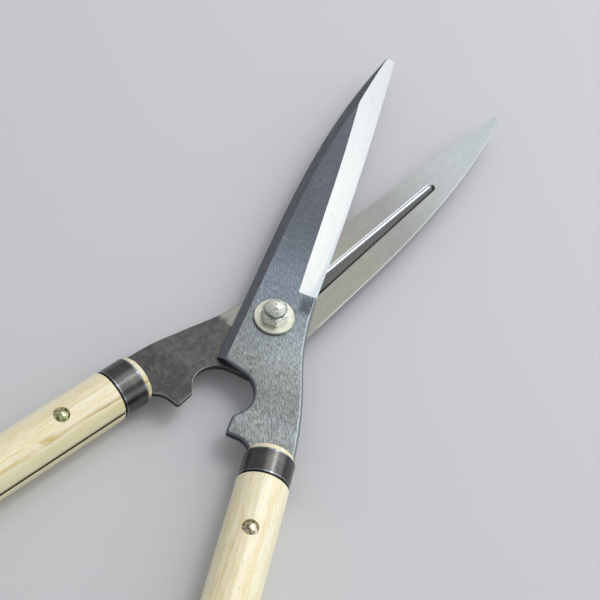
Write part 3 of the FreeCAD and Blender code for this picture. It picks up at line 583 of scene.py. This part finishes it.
def black_ring(side):
    """Blackened steel tube: fine turned lines, with a painted shadow line and a painted reflection line at both
    rims.
    """
    paint = Paint(side + "_ferrule_steel", RING_METALLIC)
    origin, *axes = handle_front(side)
    along, across, up = paint.measure(origin, *axes)
    haze = paint.grain((along, across, up), (9.0, 6.0, 6.0), 4.0, 0.6, seed=5.0)
    lines = paint.grain((along, across, up), (0.3, 14.0, 14.0), 2.0, 0.5, seed=9.0)
    dull = paint.grain((along, across, up), (1.2, 1.2, 1.2), 3.0, 0.6, seed=11.0)
    colour = paint.mix(paint.rise(haze, 0.35, 0.65), RING_DARK, RING_WARM)
    colour = paint.shade(colour, paint.rise(lines, 0.35, 0.7, 0.88, 1.14))
    end = FERRULE_LENGTH
    # Painted shadow lines at both rims
    shadow = paint.plus(paint.rise(along, 0.45, 0.2), paint.rise(along, end - 1.15, end - 0.85))
    colour = paint.cover(colour, RIM_SHADOW, shadow)
    # Painted reflection lines just inside both rims
    bright = paint.plus(paint.band(along, 0.5, 1.1, 0.12),
                        paint.band(along, end - 1.8, end - 1.2, 0.12))
    colour = paint.cover(colour, RIM_REFLECTION, bright, strength=0.7)
    rough = paint.plus(paint.rise(haze, *NOISE_SPAN, 0.2, 0.25),
                       paint.rise(dull, 0.4, 0.7, 0.0, 0.05))
    return paint.finish(colour, rough, lines, TURNING_DEPTH)


def zinc_marks(paint, pale, deep, seed, dented=1.0):
    """Where a spot of the pivot's hardware lies, and its plating's colour, grit and dents."""
    east, north, up = place = paint.measure(PIVOT, EAST, NORTH, UP)
    clouds = paint.grain(place, (4.0, 4.0, 4.0), 3.0, 0.6, seed)
    grit = paint.grain(place, (0.5, 0.5, 0.5), 3.0, 0.6, seed + 1)
    dents = paint.grain(place, (1.6, 1.6, 1.6), 2.0, 0.5, seed + 2)
    colour = paint.mix(paint.rise(clouds, 0.35, 0.7), pale, deep)
    colour = paint.cover(colour, ZINC_GRIT, paint.rise(grit, 0.6, 0.8, 0.0, 0.4))
    pits = paint.plus(paint.times(dents, dented), paint.times(grit, 0.1))
    return SimpleNamespace(east=east, north=north, up=up, clouds=clouds, grit=grit,
                           dents=dents, colour=colour, pits=pits)


def zinc_finish(paint, at, colour, rough, height):
    """Close a plated material: this rough on average, and dulled a little by the grit."""
    around = paint.rise(at.grit, *NOISE_SPAN, rough - 0.05, rough + 0.08)
    return paint.finish(colour, around, height, ZINC_DEPTH)


def washer_zinc():
    """Dull pale yellow zinc, with painted shade on the side that the nut keeps from the light."""
    paint = Paint("washer_zinc", WASHER_METALLIC)
    at = zinc_marks(paint, WASHER_PALE, WASHER_DEEP, WASHER_SEED)
    # Painted shade: darker towards the west, where the nut keeps the light off
    colour = paint.shade(at.colour, paint.rise(at.east, -5.0, 3.0, 0.8, 1.0))
    return zinc_finish(paint, at, colour, WASHER_ROUGH, at.pits)


def nut_zinc():
    """Bright zinc, turned on the dome, with tarnish and painted dark reflections in patches, in rings and round
    the dome's foot.
    """
    paint = Paint("nut_zinc", NUT_METALLIC)
    at = zinc_marks(paint, NUT_PALE, NUT_DEEP, NUT_SEED, NUT_DENTS)
    angle = paint.times(paint.reach(at.east, at.north), 2 * math.pi / RING_PITCH)
    turned = paint.work("SINE", angle)
    # Tarnish and a painted dark reflection round the dome's foot
    foot = paint.times(paint.band(at.up, DOME_START, DOME_START + 2.6, 0.5),
                       paint.rise(at.clouds, 0.38, 0.58, 0.35, 1.0))
    colour = paint.cover(at.colour, FOOT_TARNISH_AND_REFLECTION, foot, strength=0.85)
    # Tarnish and painted dark reflections in patches on the dome
    patches = paint.times(paint.rise(at.up, DOME_START + 0.2, DOME_START + 0.6),
                          paint.rise(at.dents, 0.55, 0.59))
    colour = paint.cover(colour, PATCH_TARNISH_AND_REFLECTION, patches, strength=0.55)
    # Turning marks, painted darker as rings of reflection
    marks = paint.times(paint.rise(turned, 0.3, 0.9),
                        paint.rise(at.up, DOME_START, DOME_START + 0.6))
    colour = paint.cover(colour, TURNING_MARK_AND_REFLECTION, marks, strength=0.22)
    on_dome = paint.rise(at.up, DOME_START, DOME_START + 0.3, 0.0, NUT_RINGS)
    height = paint.plus(paint.times(turned, on_dome), at.pits)
    return zinc_finish(paint, at, colour, NUT_ROUGH, height)


def rivet_steel(side):
    """A plated dome whose tint drifts from green and pink to pale yellow."""
    paint = Paint(side + "_rivet_plating", RIVET_METALLIC)
    low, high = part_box(side + "_rivet")
    place = paint.measure((low + high) / 2, EAST, NORTH, UP)
    clouds = paint.grain(place, (2.2, 2.2, 2.2), 2.0, 0.5, RIVET_SEED[side])
    colour = paint.mix(paint.rise(clouds, 0.4, 0.62), RIVET_PALE, RIVET_TINT[side])
    return paint.finish(colour, paint.rise(clouds, *NOISE_SPAN, 0.16, 0.24), clouds, RIVET_DEPTH)


# ---------------------------------------------------------------- worn edges

def wear_places(side):
    """Node group that marks the sharp edges of a blade for rounding, but not its honed edge."""
    nodes = Nodes(bpy.data.node_groups.new(side + "_wear_places", "GeometryNodeTree"))
    for way in ("INPUT", "OUTPUT"):
        nodes.tree.interface.new_socket("Geometry", in_out=way,
                                        socket_type="NodeSocketGeometry")
    place = nodes.node("GeometryNodeInputPosition").outputs[0]
    along, spine = nodes.distances(place, PIVOT, *blade_axes(side)[:2])
    honed = nodes.times(nodes.work("GREATER_THAN", along, HONED_ALONG),
                        nodes.work("LESS_THAN", spine, HONED_SPINE))
    turn = nodes.node("GeometryNodeInputMeshEdgeAngle").outputs["Unsigned Angle"]
    sharp = nodes.work("GREATER_THAN", turn, SHARP_FROM)
    store = nodes.node("GeometryNodeStoreNamedAttribute", domain="EDGE")
    nodes.feed(store.inputs["Geometry"], nodes.node("NodeGroupInput").outputs[0])
    nodes.feed(store.inputs["Name"], "bevel_weight_edge")
    nodes.feed(store.inputs["Value"], nodes.times(sharp, nodes.minus(1.0, honed)))
    nodes.feed(nodes.node("NodeGroupOutput").inputs[0], store.outputs["Geometry"])
    return nodes.tree


def wear_edges(side):
    """Round off a blade's sharp edges a little, so that they catch the light."""
    modifiers = frame["nodes"][side + "_blade"].modifiers
    modifiers.new("joined_faces", "WELD").merge_threshold = JOIN_WITHIN * MM
    flat = modifiers.new("flat_faces", "DECIMATE")
    flat.decimate_type = "DISSOLVE"
    flat.angle_limit = FLAT_WITHIN
    modifiers.new("worn_places", "NODES").node_group = wear_places(side)
    bevel = modifiers.new("worn_edges", "BEVEL")
    bevel.width = EDGE_WEAR * MM
    bevel.segments = EDGE_STEPS
    bevel.limit_method = "WEIGHT"
    bevel.use_clamp_overlap = False
    modifiers.new("joined_corners", "WELD").merge_threshold = JOIN_WITHIN * MM
    modifiers.new("crisp_creases", "EDGE_SPLIT").split_angle = CREASE_FROM


def dress(material, *nodes):
    """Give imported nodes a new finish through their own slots."""
    for node in nodes:
        for slot in frame["nodes"][node].material_slots:
            slot.material = material


for side in ("front", "rear"):
    dress(forged_steel(side), side + "_blade")
    wear_edges(side)
    dress(oak(side), side + "_handle")
    dress(black_ring(side), side + "_ferrule")
    dress(rivet_steel(side), side + "_rivet")
dress(washer_zinc(), "front_washer", "rear_washer")
dress(nut_zinc(), "cap_nut", "pivot_bolt")


# ---------------------------------------------------------------- floor, light and camera

FLOOR_HALF = 6.0
FLOOR_TONE, FLOOR_ROUGH, FLOOR_SPECULAR = tone(206, 207, 209), 0.7, 0.2
WORLD_TONE, WORLD_STRENGTH = tone(250, 251, 255), 0.46
LAMP_AWAY = 2.0
LAMPS = (                           # name, direction from the pivot, watts, width, height
    ("softbox", (0.3, 0.6, 0.8), 26.0, 2.4, 2.4),
    ("strip", (0.2, 0.45, 0.87), 5.5, 0.28, 0.8),
    ("side", (0.97, 0.23, 0.2), 5.5, 1.2, 1.2))

CAMERA_AZIMUTH = math.radians(19.714)
CAMERA_ELEVATION = math.radians(56.835)
CAMERA_ROLL = math.radians(12.92)
CAMERA_AWAY = 1.517
CAMERA_LENS = 156.06
AIM = Vector((5.1, 22.3, 0.0)) * MM          # where the camera looks, from the pivot


def place_object(name, data):
    """A new object in the scene."""
    made = bpy.data.objects.new(name, data)
    bpy.context.scene.collection.objects.link(made)
    return made


def lay_floor():
    """Pale paper under the pair, wide enough to fill the picture."""
    corners = [(-FLOOR_HALF, -FLOOR_HALF, 0), (FLOOR_HALF, -FLOOR_HALF, 0),
               (FLOOR_HALF, FLOOR_HALF, 0), (-FLOOR_HALF, FLOOR_HALF, 0)]
    mesh = bpy.data.meshes.new("floor")
    mesh.from_pydata(corners, [], [(0, 1, 2, 3)])
    floor = place_object("floor", mesh)
    paint = Paint("floor_paper", metallic=0.0, specular=FLOOR_SPECULAR)
    mesh.materials.append(paint.finish(FLOOR_TONE, FLOOR_ROUGH))


def hang_lamp(name, direction, watts, wide, tall):
    """A soft lamp that faces the pivot from this direction."""
    lamp = bpy.data.lights.new(name, "AREA")
    lamp.shape = "RECTANGLE"
    lamp.energy, lamp.size, lamp.size_y = watts, wide, tall
    hung = place_object(name, lamp)
    heading = Vector(direction).normalized()
    hung.location = PIVOT + heading * LAMP_AWAY
    hung.rotation_euler = heading.to_track_quat("Z", "Y").to_euler()


def light_world():
    """A pale, even sky."""
    world = bpy.data.worlds.new("studio")
    world.use_nodes = True
    background = world.node_tree.nodes["Background"]
    background.inputs["Color"].default_value = WORLD_TONE
    background.inputs["Strength"].default_value = WORLD_STRENGTH
    bpy.context.scene.world = world


def stand_camera():
    """The photo's view: above the handles' side, turned a little, with a long lens."""
    camera = bpy.data.cameras.new("camera")
    camera.lens = CAMERA_LENS
    stand = place_object("camera", camera)
    level = math.cos(CAMERA_ELEVATION)
    back = Vector((math.sin(CAMERA_AZIMUTH) * level, -math.cos(CAMERA_AZIMUTH) * level,
                   math.sin(CAMERA_ELEVATION)))
    right = UP.cross(back).normalized()
    turned = Matrix.Rotation(CAMERA_ROLL, 3, back) @ right
    place = Matrix((turned, back.cross(turned), back)).transposed().to_4x4()
    place.translation = PIVOT + AIM + back * CAMERA_AWAY
    stand.matrix_world = place
    bpy.context.scene.camera = stand


lay_floor()
for lamp in LAMPS:
    hang_lamp(*lamp)
light_world()
stand_camera()
bpy.context.scene.view_settings.view_transform = "Standard"
